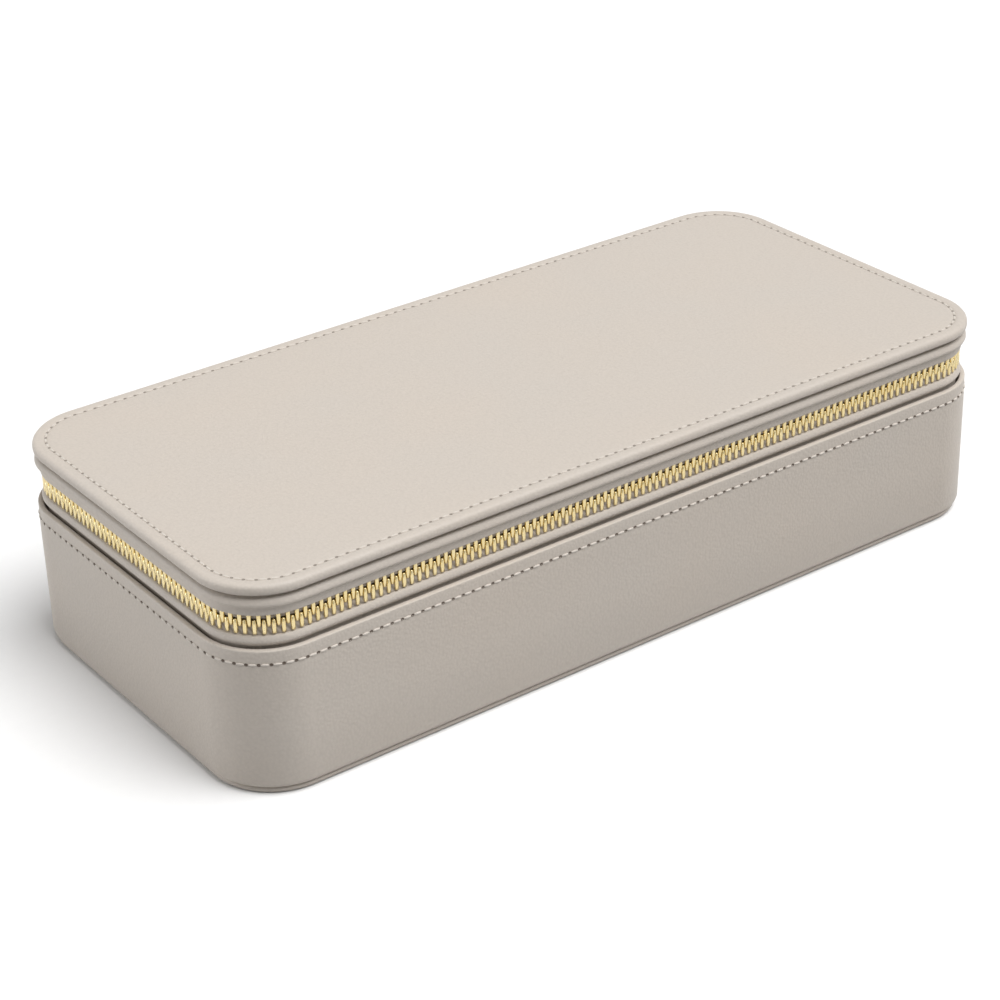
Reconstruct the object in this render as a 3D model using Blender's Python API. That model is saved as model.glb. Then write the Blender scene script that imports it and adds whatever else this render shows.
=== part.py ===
"""Zip-around travel jewelry box: leatherette case, brass zip, hinged lid, fitted inside.

The box stands on z = 0, centred on the origin. Its long side runs along X, its front faces -Y,
and the lid hinges along the top of the back wall.
"""

import math

import bmesh
import bpy
from mathutils import Vector

MM = 0.001

# Driving dimensions, in millimetres.
LENGTH = 250.0
DEPTH = 116.0
HEIGHT = 59.0
CORNER_RADIUS = 18.5
CORNER_STEPS = 7
GAP = 0.3

# Levels of the base, from the underside up.
PANEL_TOP = 1.6
BASE_COVER_BOTTOM = PANEL_TOP + GAP
BASE_COVER_TOP = 41.2
BASE_BOARD_TOP = 44.0
BASE_STRIP_TOP = 44.9
TAPE_BOTTOM = 33.0

# The zip: two rows of chain with the slider's post between them.
CHAIN_BOTTOM = 45.2
CHAIN_TOP = 51.1
ZIP_LEVEL = 48.2
POST_GAP = 2.2
CHAIN_OUT = 1.5
CHAIN_IN = 3.3

# Levels of the lid, from the zip up.
LID_STRIP_BOTTOM = 51.4
LID_RIM_BOTTOM = 49.4
LID_COVER_BOTTOM = 56.3
LID_CEILING = 57.7
LID_BOARD_BOTTOM = 53.9
LID_LINING_TOP = LID_BOARD_BOTTOM - GAP
LID_LINING_THICK = 0.6

# Wall layers, as offsets inwards from the outer outline.
COVER_IN = 1.2
STRIP_OUT = 1.5
STRIP_IN = 2.3
TAPE_OUT = 2.6
TAPE_IN = 3.2
BOARD_OUT = 3.5
BOARD_IN = 5.3
LINING_OUT = 5.6
LINING_IN = 6.2
COVER_FLANGE = 9.0
COVER_FLANGE_TOP = 3.1
LID_RIM_OUT = 5.1
LID_RIM_IN = 6.7
LID_LINING_OUT = LID_RIM_IN + GAP

# The hinge along the back.
HINGE_Y = DEPTH / 2
HINGE_Z = ZIP_LEVEL
HINGE_HALF = 87.0
ZIP_END = 88.5
STOP_LENGTH = 3.5
STOP_DEPTH = 2.2
STOP_INSET = 2.4

# The inside.
FLOOR_TOP = 6.3
DIVIDER_THICK = 2.4
DIVIDER_TOP = 38.0
CROSS_DIVIDER_X = 42.0
ROLL_COUNT = 6
ROLL_GAP = 0.9
ROLL_HEIGHT = 23.0

# The mirror in its frame, under the lid.
MIRROR_FRAME_HALF = (76.0, 39.0)
MIRROR_OPENING_HALF = (69.0, 32.0)
MIRROR_HALF = (68.7, 31.7)
MIRROR_FRAME_BOTTOM = 51.6
MIRROR_BOTTOM = 51.9
MIRROR_TOP = LID_LINING_TOP - LID_LINING_THICK - GAP

# Sliders, pull rings and pull tabs on the right side.
SLIDER_Y = 7.0
SLIDER_HALF_LENGTH = 6.0
PLATE_OUT_X = 123.8
PLATE_THICK = 1.5
PLATE_TAIL_HALF = 3.2
PLATE_NOSE_HALF = 3.4
PLATE_SHOULDER_HALF = 4.3
BACK_PLATE_X = 120.2
BACK_PLATE_THICK = 1.1
BACK_PLATE_SHARE = 0.72
POST_NOSE_HALF = 0.8
POST_TAIL_HALF = 0.55
BRIDGE_X = 128.2
BRIDGE_RADIUS = 0.7
BRIDGE_FOOT_HALF = 3.9
BRIDGE_FLAT_HALF = 2.9
BRIDGE_SHOULDER = 1.3
LINK_WIRE = 0.55
LINK_TOP_ARC = 1.75
LINK_LOW_ARC = 2.1
LINK_DROP = 5.2
TAB_EYE = 1.15
TAB_EYE_DROP = 0.3
TAB_EYE_RIM = 1.9
TAB_WIDTH = 5.0
TAB_LENGTH = 21.0
TAB_THICK = 1.2

COLOURS = {
    "leatherette": ((0.62, 0.57, 0.52), 0.55, 0.0),
    "zip_tape": ((0.50, 0.45, 0.40), 0.85, 0.0),
    "brass": ((0.83, 0.68, 0.36), 0.28, 1.0),
    "board": ((0.42, 0.33, 0.24), 0.90, 0.0),
    "foam": ((0.80, 0.78, 0.72), 0.95, 0.0),
    "velvet": ((0.48, 0.40, 0.34), 0.95, 0.0),
    "mirror": ((0.90, 0.92, 0.93), 0.03, 1.0),
}


def clear_scene():
    for obj in list(bpy.data.objects):
        bpy.data.objects.remove(obj, do_unlink=True)


def material(name):
    """A Principled material with the named finish, made once."""
    if name in bpy.data.materials:
        return bpy.data.materials[name]
    colour, roughness, metallic = COLOURS[name]
    made = bpy.data.materials.new(name)
    made.use_nodes = True
    shader = made.node_tree.nodes["Principled BSDF"]
    shader.inputs["Base Color"].default_value = (*colour, 1.0)
    shader.inputs["Roughness"].default_value = roughness
    shader.inputs["Metallic"].default_value = metallic
    return made


def finish_object(name, mesh, finish, smooth_below=None, origin=(0.0, 0.0, 0.0)):
    """Links a bmesh in millimetres as an object whose own origin stands at the given point."""
    bmesh.ops.recalc_face_normals(mesh, faces=mesh.faces)
    centre = Vector(origin)
    for vert in mesh.verts:
        vert.co = (vert.co - centre) * MM
    data = bpy.data.meshes.new(name)
    mesh.to_mesh(data)
    mesh.free()
    obj = bpy.data.objects.new(name, data)
    obj.location = centre * MM
    bpy.context.scene.collection.objects.link(obj)
    data.materials.append(material(finish))
    if smooth_below is not None:
        data.shade_smooth()
        data.set_sharp_from_angle(angle=math.radians(smooth_below))
    return obj


def hang(child, parent):
    """Parents one object to another and leaves it where it stands."""
    bpy.context.view_layer.update()
    child.parent = parent
    child.matrix_parent_inverse = parent.matrix_world.inverted()


def axis_empty(name, point):
    empty = bpy.data.objects.new(name, None)
    empty.location = Vector(point) * MM
    bpy.context.scene.collection.objects.link(empty)
    return empty


# ---- outlines -------------------------------------------------------------------------------


def corner(centre_x, centre_y, radius, start):
    """A quarter circle from the start angle, in degrees, running anticlockwise."""
    points = []
    for step in range(CORNER_STEPS + 1):
        angle = math.radians(start + 90.0 * step / CORNER_STEPS)
        points.append((centre_x + radius * math.cos(angle), centre_y + radius * math.sin(angle)))
    return points


def outline(offset):
    """The box's rounded outline, moved inwards by offset, anticlockwise from the right side."""
    x = LENGTH / 2 - CORNER_RADIUS
    y = DEPTH / 2 - CORNER_RADIUS
    radius = CORNER_RADIUS - offset
    back_right = corner(x, y, radius, 0)
    back_left = corner(-x, y, radius, 90)
    front_left = corner(-x, -y, radius, 180)
    front_right = corner(x, -y, radius, 270)
    return back_right + back_left + front_left + front_right


def zip_path(offset):
    """The outline without the hinge stretch: from the back wall's left end round to its right."""
    loop = outline(offset)
    quarter = CORNER_STEPS + 1
    y = DEPTH / 2 - offset
    return [(-ZIP_END, y)] + loop[quarter:] + loop[:quarter] + [(ZIP_END, y)]


# ---- shapes swept along an outline ----------------------------------------------------------


def bridge_rows(mesh, rows, closed):
    """Quads between rows of vertices. Closed rows also join last to first."""
    count = len(rows[0])
    for low, high in zip(rows, rows[1:]):
        for i in range(count if closed else count - 1):
            j = (i + 1) % count
            mesh.faces.new((low[i], low[j], high[j], high[i]))


def stack(name, levels, finish, shade=40):
    """A closed solid through (offset, z) levels of the outline, capped at its first and last."""
    mesh = bmesh.new()
    rows = []
    for offset, z in levels:
        rows.append([mesh.verts.new((x, y, z)) for x, y in outline(offset)])
    bridge_rows(mesh, rows, True)
    mesh.faces.new(rows[0])
    mesh.faces.new(rows[-1])
    return finish_object(name, mesh, finish, shade)


def ring(name, profile, finish, shade=40):
    """A closed profile of (offset, z) points swept all the way round the outline."""
    mesh = bmesh.new()
    rows = []
    for offset, z in profile:
        rows.append([mesh.verts.new((x, y, z)) for x, y in outline(offset)])
    bridge_rows(mesh, rows + rows[:1], True)
    return finish_object(name, mesh, finish, shade)


def zip_strip(name, profile, finish, shade=40):
    """A closed profile swept along the zip's path, with a flat face at each end."""
    mesh = bmesh.new()
    rows = []
    for offset, z in profile:
        rows.append([mesh.verts.new((x, y, z)) for x, y in zip_path(offset)])
    bridge_rows(mesh, rows + rows[:1], False)
    mesh.faces.new([row[0] for row in rows])
    mesh.faces.new([row[-1] for row in rows])
    return finish_object(name, mesh, finish, shade)


def band(outer, inner, low, high):
    """A rectangular wall profile."""
    return [(outer, low), (outer, high), (inner, high), (inner, low)]


# ---- blocks, rods and extrusions ------------------------------------------------------------


def block_mesh(low, high):
    """A box between two corners."""
    mesh = bmesh.new()
    bmesh.ops.create_cube(mesh, size=1.0)
    low, high = Vector(low), Vector(high)
    for vert in mesh.verts:
        share = vert.co + Vector((0.5, 0.5, 0.5))
        vert.co = low + Vector(s * (b - a) for s, a, b in zip(share, low, high))
    return mesh


def block(name, low, high, finish, edge=0.3):
    """A box with eased edges."""
    mesh = block_mesh(low, high)
    if edge:
        bmesh.ops.bevel(mesh, geom=mesh.edges, offset=edge, segments=1, affect="EDGES")
    return finish_object(name, mesh, finish, 30)


def centred_block(name, half, low, high, finish, edge):
    """A block over the middle of the box, from height low to height high."""
    x, y = half
    return block(name, (-x, -y, low), (x, y, high), finish, edge)


def prism_mesh(points, low, high, place):
    """A polygon extruded from low to high. place turns (u, v, depth) into (x, y, z)."""
    mesh = bmesh.new()
    bottom = [mesh.verts.new(place(u, v, low)) for u, v in points]
    top = [mesh.verts.new(place(u, v, high)) for u, v in points]
    bridge_rows(mesh, [bottom, top], True)
    mesh.faces.new(bottom)
    mesh.faces.new(top)
    return mesh


def rod_mesh(path, radius, sides, looped):
    """A round rod along a path that lies in one plane, as an open run or a closed loop."""
    mesh = bmesh.new()
    points = [Vector(p) for p in path]
    count = len(points)
    normal = (points[1] - points[0]).cross(points[count // 2] - points[0]).normalized()
    rows = []
    for i, point in enumerate(points):
        before = points[i - 1] if looped or i else point
        after = points[(i + 1) % count] if looped or i < count - 1 else point
        across = normal.cross((after - before).normalized())
        row = []
        for k in range(sides):
            angle = 2 * math.pi * k / sides
            spoke = math.cos(angle) * across + math.sin(angle) * normal
            row.append(mesh.verts.new(point + radius * spoke))
        rows.append(row)
    bridge_rows(mesh, rows + rows[:1] if looped else rows, True)
    if not looped:
        mesh.faces.new(rows[0])
        mesh.faces.new(rows[-1])
    return mesh


def join_parts(body, parts, operation="UNION"):
    """Adds a Boolean for each helper, which stays hidden from the finished part."""
    for part in parts:
        part.hide_render = True
        part.display_type = "WIRE"
        change = body.modifiers.new(part.name, "BOOLEAN")
        change.operation = operation
        change.object = part
        change.solver = "EXACT"
    return body


# ---- the base -------------------------------------------------------------------------------


def build_base_shell():
    stack("bottom_panel", [(2.0, 0), (1.5, 0.4), (1.5, PANEL_TOP)], "leatherette")
    cover = [
        (1.2, BASE_COVER_BOTTOM),
        (0.35, 2.3),
        (0, 3.4),
        (0, BASE_COVER_TOP - 0.5),
        (0.4, BASE_COVER_TOP),
        (COVER_IN, BASE_COVER_TOP),
        (COVER_IN, COVER_FLANGE_TOP),
        (COVER_FLANGE, COVER_FLANGE_TOP),
        (COVER_FLANGE, BASE_COVER_BOTTOM),
    ]
    ring("base_cover", cover, "leatherette")
    board = [
        (STRIP_OUT, 3.4),
        (STRIP_OUT, TAPE_BOTTOM - GAP),
        (BOARD_OUT, TAPE_BOTTOM - GAP),
        (BOARD_OUT, BASE_BOARD_TOP),
        (BOARD_IN, BASE_BOARD_TOP),
        (BOARD_IN, 3.4),
    ]
    ring("base_wall_board", board, "board")
    stack("floor_board", [(LINING_OUT, 3.4), (LINING_OUT, 5.4)], "board")
    lining = [
        (LINING_OUT, 5.7),
        (LINING_OUT, BASE_BOARD_TOP),
        (LINING_IN, BASE_BOARD_TOP),
        (LINING_IN, FLOOR_TOP),
    ]
    stack("base_lining", lining, "velvet")


def build_base_zip():
    strip = band(STRIP_OUT, STRIP_IN, TAPE_BOTTOM, BASE_STRIP_TOP)
    zip_strip("base_zip_strip", strip, "leatherette")
    tape = band(TAPE_OUT, TAPE_IN, TAPE_BOTTOM, BASE_STRIP_TOP)
    zip_strip("base_zip_tape", tape, "zip_tape")
    chain = band(CHAIN_OUT, CHAIN_IN, CHAIN_BOTTOM, ZIP_LEVEL - POST_GAP / 2)
    zip_strip("base_zip_chain", chain, "brass")


def build_end_stops():
    """A small brass clamp at each end of each row of chain."""
    y = DEPTH / 2
    for side, sign in (("left", -1), ("right", 1)):
        near, far = sorted((sign * (ZIP_END - GAP - STOP_LENGTH), sign * (ZIP_END - GAP)))
        rows = (
            ("base", CHAIN_BOTTOM, ZIP_LEVEL - POST_GAP / 2),
            ("lid", ZIP_LEVEL + POST_GAP / 2, CHAIN_TOP),
        )
        for part, low, high in rows:
            front_face, back_face = y - STOP_INSET - STOP_DEPTH, y - STOP_INSET
            block(f"{part}_zip_stop_{side}", (near, front_face, low), (far, back_face, high), "brass", 0.2)


def build_hinge_strip():
    """The leatherette strip that joins the two halves along the back."""
    y = DEPTH / 2
    low = (-HINGE_HALF, y - STRIP_IN, TAPE_BOTTOM)
    high = (HINGE_HALF, y - STRIP_OUT, LID_CEILING - GAP)
    block("hinge_strip", low, high, "leatherette", 0.2)


def build_dividers():
    """Two walls across the box and one along each end space."""
    low, high = FLOOR_TOP + GAP, DIVIDER_TOP
    half = DIVIDER_THICK / 2
    reach_y = DEPTH / 2 - LINING_IN - GAP
    reach_x = LENGTH / 2 - LINING_IN - GAP
    for side, sign in (("left", -1), ("right", 1)):
        x = sign * CROSS_DIVIDER_X
        block(f"cross_divider_{side}", (x - half, -reach_y, low), (x + half, reach_y, high), "velvet", 0.6)
        near, far = sorted((x + sign * (half + GAP), sign * reach_x))
        block(f"short_divider_{side}", (near, -half, low), (far, half, high), "velvet", 0.6)


def build_ring_rolls():
    """Six padded rolls with a slit between each pair, which grips the rings."""
    room = 2 * (CROSS_DIVIDER_X - DIVIDER_THICK / 2) - 2 * ROLL_GAP
    width = (room - ROLL_GAP * (ROLL_COUNT - 1)) / ROLL_COUNT
    reach_y = DEPTH / 2 - LINING_IN - 0.8
    low = FLOOR_TOP + GAP
    half = width / 2
    for number in range(ROLL_COUNT):
        x = -room / 2 + half + number * (width + ROLL_GAP)
        section = [(-half, low), (half, low)]
        for step in range(7):
            angle = math.pi * step / 6
            section.append((half * math.cos(angle), low + ROLL_HEIGHT - half + half * math.sin(angle)))
        mesh = prism_mesh(section, -reach_y, reach_y, lambda u, v, d, at=x: (at + u, d, v))
        finish_object(f"ring_roll_{number + 1}", mesh, "velvet", 50)


# ---- the lid --------------------------------------------------------------------------------


def build_lid(hinge):
    cover = [
        (COVER_IN, LID_CEILING),
        (COVER_IN, LID_COVER_BOTTOM),
        (0.5, LID_COVER_BOTTOM),
        (0, LID_COVER_BOTTOM + 0.5),
        (0, HEIGHT - 1.2),
        (0.35, HEIGHT - 0.35),
        (1.2, HEIGHT),
    ]
    rim = band(LID_RIM_OUT, LID_RIM_IN, LID_RIM_BOTTOM, LID_LINING_TOP)
    lining = [
        (LID_LINING_OUT, LID_LINING_TOP),
        (LID_LINING_OUT, LID_RIM_BOTTOM),
        (LID_LINING_OUT + LID_LINING_THICK, LID_RIM_BOTTOM),
        (LID_LINING_OUT + LID_LINING_THICK, LID_LINING_TOP - LID_LINING_THICK),
    ]
    foam = [(BOARD_OUT, LID_COVER_BOTTOM), (BOARD_OUT, LID_CEILING - GAP)]
    board = [(BOARD_OUT, LID_BOARD_BOTTOM), (BOARD_OUT, LID_COVER_BOTTOM - GAP)]
    strip = band(STRIP_OUT, STRIP_IN, LID_STRIP_BOTTOM, LID_CEILING - GAP)
    tape = band(TAPE_OUT, TAPE_IN, LID_STRIP_BOTTOM, LID_CEILING - GAP)
    chain = band(CHAIN_OUT, CHAIN_IN, ZIP_LEVEL + POST_GAP / 2, CHAIN_TOP)
    pieces = [
        stack("lid_cover", cover, "leatherette"),
        stack("lid_foam", foam, "foam"),
        stack("lid_board", board, "board"),
        ring("lid_rim_board", rim, "board"),
        stack("lid_lining", lining, "velvet"),
        zip_strip("lid_zip_strip", strip, "leatherette"),
        zip_strip("lid_zip_tape", tape, "zip_tape"),
        zip_strip("lid_zip_chain", chain, "brass"),
        build_mirror_frame(),
        centred_block("lid_mirror", MIRROR_HALF, MIRROR_BOTTOM, MIRROR_TOP, "mirror", 0.15),
    ]
    for piece in pieces:
        hang(piece, hinge)


def build_mirror_frame():
    """A flat frame with a rectangular opening for the mirror."""
    low, high = MIRROR_FRAME_BOTTOM, MIRROR_TOP
    frame = centred_block("mirror_frame", MIRROR_FRAME_HALF, low, high, "leatherette", 0)
    cutter = centred_block("mirror_opening", MIRROR_OPENING_HALF, low - 1, high + 1, "leatherette", 0)
    return join_parts(frame, [cutter], "DIFFERENCE")


# ---- the sliders ----------------------------------------------------------------------------


def slider_body(name, sign):
    """Two plates joined by a post at the head, with a bridge for the pull. sign is the way it opens."""
    tail, head = sign * SLIDER_HALF_LENGTH, -sign * SLIDER_HALF_LENGTH
    upper = [(tail, PLATE_TAIL_HALF), (head * 0.4, PLATE_SHOULDER_HALF), (head, PLATE_NOSE_HALF)]
    outer = upper + [(u, -v) for u, v in reversed(upper)]
    inner = [(u, v * BACK_PLATE_SHARE) for u, v in outer]
    post = [(head * 0.9, POST_NOSE_HALF), (head * 0.3, POST_TAIL_HALF)]
    post += [(u, -v) for u, v in reversed(post)]
    centre = sign * SLIDER_Y
    outer_face = PLATE_OUT_X + PLATE_THICK

    def place(u, v, d):
        return (d, centre + u, ZIP_LEVEL + v)

    plate = prism_mesh(outer, PLATE_OUT_X, outer_face, place)
    face_edges = [e for e in plate.edges if all(v.co.x > outer_face - 0.1 for v in e.verts)]
    bmesh.ops.bevel(plate, geom=face_edges, offset=0.35, segments=1, affect="EDGES")
    body = finish_object(name, plate, "brass", 30)
    back_mesh = prism_mesh(inner, BACK_PLATE_X, BACK_PLATE_X + BACK_PLATE_THICK, place)
    back = finish_object(name + "_back", back_mesh, "brass", 30)
    post_mesh = prism_mesh(post, BACK_PLATE_X + 0.5, PLATE_OUT_X + 0.6, place)
    neck = finish_object(name + "_post", post_mesh, "brass", 30)
    foot, shoulder = outer_face - BRIDGE_RADIUS, outer_face + BRIDGE_SHOULDER
    half_bow = [(foot, BRIDGE_FOOT_HALF), (shoulder, BRIDGE_FOOT_HALF), (BRIDGE_X, BRIDGE_FLAT_HALF)]
    bow = [(x, centre - y, ZIP_LEVEL) for x, y in half_bow]
    bow += [(x, centre + y, ZIP_LEVEL) for x, y in reversed(half_bow)]
    bridge = finish_object(name + "_bridge", rod_mesh(bow, BRIDGE_RADIUS, 8, False), "brass", 50)
    return join_parts(body, [back, neck, bridge]), centre


def half_turn(middle_z, radius, start):
    """Half a circle of (x, z) points in the link's own plane, from the start angle in degrees."""
    points = []
    for step in range(7):
        angle = math.radians(start + 180.0 * step / 6)
        points.append((BRIDGE_X + radius * math.cos(angle), middle_z + radius * math.sin(angle)))
    return points


def pull_ring(name, centre):
    """A wire link that hangs on the bridge, standing square to the wall."""
    bends = half_turn(ZIP_LEVEL, LINK_TOP_ARC, 0) + half_turn(ZIP_LEVEL - LINK_DROP, LINK_LOW_ARC, 180)
    path = [(x, centre, z) for x, z in bends]
    pivot = (BRIDGE_X, centre, ZIP_LEVEL)
    return finish_object(name, rod_mesh(path, LINK_WIRE, 8, True), "brass", 50, pivot)


def pull_tab(name, centre):
    """A long flat tab with a round eye at its top. Its eye slides round the link's lowest bend,
    so it swings about the middle of that bend."""
    bend_z = ZIP_LEVEL - LINK_DROP
    eye_z = bend_z - LINK_LOW_ARC - TAB_EYE_DROP
    half = TAB_WIDTH / 2
    bottom = eye_z - TAB_LENGTH + half
    shape = []
    for step in range(9):
        angle = math.pi * step / 8
        shape.append((TAB_EYE_RIM * math.cos(angle), eye_z + TAB_EYE_RIM * math.sin(angle)))
    for step in range(9):
        angle = math.pi + math.pi * step / 8
        shape.append((half * math.cos(angle), bottom + half * math.sin(angle)))
    low, high = BRIDGE_X - TAB_THICK / 2, BRIDGE_X + TAB_THICK / 2
    mesh = prism_mesh(shape, low, high, lambda u, v, d: (d, centre + u, v))
    tab = finish_object(name, mesh, "brass", 30, (BRIDGE_X, centre, bend_z))
    eye = []
    for step in range(12):
        angle = 2 * math.pi * step / 12
        eye.append((TAB_EYE * math.cos(angle), eye_z + TAB_EYE * math.sin(angle)))
    hole = prism_mesh(eye, low - 2, high + 2, lambda u, v, d: (d, centre + u, v))
    cutter = finish_object(name + "_eye", hole, "brass")
    return join_parts(tab, [cutter], "DIFFERENCE")


def build_sliders():
    for side, sign in (("front", -1), ("rear", 1)):
        body, centre = slider_body(f"{side}_slider", sign)
        link = pull_ring(f"{side}_pull_ring", centre)
        tab = pull_tab(f"{side}_pull_tab", centre)
        hang(link, body)
        hang(tab, link)


def main():
    clear_scene()
    build_base_shell()
    build_base_zip()
    build_end_stops()
    build_hinge_strip()
    build_dividers()
    build_ring_rolls()
    hinge = axis_empty("lid_hinge_axis", (0, HINGE_Y, HINGE_Z))
    build_lid(hinge)
    for side in ("left", "right"):
        hang(bpy.data.objects[f"lid_zip_stop_{side}"], hinge)
    build_sliders()


if __name__ == "__main__":
    main()
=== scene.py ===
"""Zip-around travel jewelry box in taupe leatherette, dressed over its packed working model.

Every piece is placed from the model's own boxes. Lengths are in metres, and names that end in _MM
hold millimetres. The box stands on z = 0, its front faces -Y and its lid hinges along the back.
"""

import math

import bmesh
import bpy
from mathutils import Matrix, Quaternion, Vector


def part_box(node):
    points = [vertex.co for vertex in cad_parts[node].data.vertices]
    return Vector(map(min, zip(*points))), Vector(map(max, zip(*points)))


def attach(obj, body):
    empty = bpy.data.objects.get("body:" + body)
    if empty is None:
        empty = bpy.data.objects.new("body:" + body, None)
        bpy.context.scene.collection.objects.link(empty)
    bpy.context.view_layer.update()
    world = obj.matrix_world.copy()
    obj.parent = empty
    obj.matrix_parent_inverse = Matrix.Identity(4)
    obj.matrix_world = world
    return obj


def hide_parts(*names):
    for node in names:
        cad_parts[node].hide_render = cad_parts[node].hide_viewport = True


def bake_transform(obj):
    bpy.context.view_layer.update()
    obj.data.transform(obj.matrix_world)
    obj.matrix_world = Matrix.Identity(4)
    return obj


bl_info = {
    "name": "Zip Jewelry Box",
    "version": (1, 0, 0),
    "blender": (4, 5, 0),
    "location": "View3D > Sidebar > Jewelry Box",
    "description": "Leather, zip, stitching and lining of a travel jewelry box",
    "category": "Object",
}

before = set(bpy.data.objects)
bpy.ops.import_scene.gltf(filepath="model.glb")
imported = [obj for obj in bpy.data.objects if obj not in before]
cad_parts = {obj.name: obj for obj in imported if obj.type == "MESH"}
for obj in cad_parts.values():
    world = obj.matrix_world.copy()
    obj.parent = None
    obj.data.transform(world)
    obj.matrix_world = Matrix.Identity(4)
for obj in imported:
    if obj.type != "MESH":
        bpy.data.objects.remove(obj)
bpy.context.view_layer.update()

MM = 0.001


# ---- sizes read from the working model ------------------------------------------------------

COVER_LOW, COVER_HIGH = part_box("base_cover")
LID_LOW, LID_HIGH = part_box("lid_cover")
PANEL_LOW, PANEL_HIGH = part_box("bottom_panel")
HINGE_LOW, HINGE_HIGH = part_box("hinge_strip")
LINING_LOW, LINING_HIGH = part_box("base_lining")
LID_LINING_LOW, LID_LINING_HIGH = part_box("lid_lining")
HALF_X = COVER_HIGH.x
HALF_Y = COVER_HIGH.y
# The height at which the two rows of the zip meet.
ZIP_Z = (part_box("base_zip_chain")[1].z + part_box("lid_zip_chain")[0].z) / 2


# ---- settings a user would change -----------------------------------------------------------


class CaseSettings(bpy.types.PropertyGroup):
    """Sizes and colours of the box"""

    corner_radius: bpy.props.FloatProperty(
        name="Corner Radius",
        description="Radius of the case's four upright corners",
        default=0.0185,
        min=0.017,
        max=0.025,
        unit="LENGTH",
    )
    stitch_pitch: bpy.props.FloatProperty(
        name="Stitch Pitch",
        description="Distance from one needle hole to the next",
        default=0.00305,
        min=0.002,
        max=0.005,
        unit="LENGTH",
    )
    tooth_pitch: bpy.props.FloatProperty(
        name="Tooth Pitch",
        description="Distance between neighbouring teeth on one row of the zip",
        default=0.00228,
        min=0.0015,
        max=0.004,
        unit="LENGTH",
    )
    leather_colour: bpy.props.StringProperty(
        name="Leatherette",
        description="Colour of the leatherette, as an sRGB hex value",
        default="#cbc2b8",
    )
    thread_colour: bpy.props.StringProperty(
        name="Thread",
        description="Colour of the sewing thread, as an sRGB hex value",
        default="#d2cac0",
    )
    brass_colour: bpy.props.StringProperty(
        name="Brass",
        description="Colour of the zip's brass, as an sRGB hex value",
        default="#e6d7ac",
    )
    velvet_colour: bpy.props.StringProperty(
        name="Velvet",
        description="Colour of the lining, as an sRGB hex value",
        default="#b9aa9a",
    )


# ---- materials ------------------------------------------------------------------------------


def linear(code):
    """An sRGB hex colour as linear RGBA."""
    values = []
    for i in (1, 3, 5):
        share = int(code[i : i + 2], 16) / 255
        values.append(share / 12.92 if share <= 0.04045 else ((share + 0.055) / 1.055) ** 2.4)
    return (*values, 1.0)


def tinted(colour, *shares):
    """The colour with its red, green and blue scaled, none past white."""
    return (*(min(1.0, channel * share) for channel, share in zip(colour, shares)), 1.0)


def add_node(tree, kind, settings=None, links=None):
    """Adds a node. Settings name its sockets or its properties; links name a socket and its source."""
    node = tree.nodes.new(kind)
    for key, value in (settings or {}).items():
        if isinstance(key, str) and hasattr(node, key):
            setattr(node, key, value)
        else:
            node.inputs[key].default_value = value
    for key, source in (links or {}).items():
        tree.links.new(source, node.inputs[key])
    return node


def add_noise(tree, place, size, detail, more=None):
    """Noise whose marks are about this many metres across."""
    settings = {"Scale": 1 / size, "Detail": detail, **(more or {})}
    return add_node(tree, "ShaderNodeTexNoise", settings, {"Vector": place}).outputs["Fac"]


def add_stripes(tree, place, size, distortion):
    """Slanting stripes. Along one axis they repeat every 0.63 of the size, in metres."""
    settings = {"bands_direction": "DIAGONAL", "Scale": 1 / size, "Distortion": distortion}
    return add_node(tree, "ShaderNodeTexWave", settings, {"Vector": place}).outputs["Fac"]


def add_mix(tree, amount, first, second):
    """A colour between two others. Each is a colour or a node's output."""
    settings, links = {"data_type": "RGBA"}, {0: amount}
    for socket, colour in ((6, first), (7, second)):
        kept = links if isinstance(colour, bpy.types.NodeSocket) else settings
        kept[socket] = colour
    return add_node(tree, "ShaderNodeMix", settings, links).outputs[2]


def add_range(tree, value, near, far, low=0.0, high=1.0):
    """Carries a value from the range near to far over to the range low to high."""
    settings = {"From Min": near, "From Max": far, "To Min": low, "To Max": high}
    return add_node(tree, "ShaderNodeMapRange", settings, {"Value": value}).outputs["Result"]


def add_bump(tree, height, strength, depth, below=None, invert=False):
    """Relief of this depth in metres, on top of the relief below it."""
    settings = {"Strength": strength, "Distance": depth, "invert": invert}
    links = {"Height": height}
    if below is not None:
        links["Normal"] = below
    return add_node(tree, "ShaderNodeBump", settings, links).outputs["Normal"]


def new_material(name, values):
    """A material with one Principled shader. Returns the material, its tree, the shader and the
    coordinates that its patterns are drawn in, which are the object's own, in metres."""
    material = bpy.data.materials.new(name)
    material.use_nodes = True
    tree = material.node_tree
    shader = tree.nodes["Principled BSDF"]
    for key, value in values.items():
        shader.inputs[key].default_value = value
    place = add_node(tree, "ShaderNodeTexCoord").outputs["Object"]
    return material, tree, shader, place


def feed(shader, sources):
    """Links node outputs to the shader's sockets."""
    for key, source in sources.items():
        shader.id_data.links.new(source, shader.inputs[key])


def once(name, build):
    """The named material, built the first time that it is asked for."""
    return bpy.data.materials.get(name) or build(name)


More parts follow.
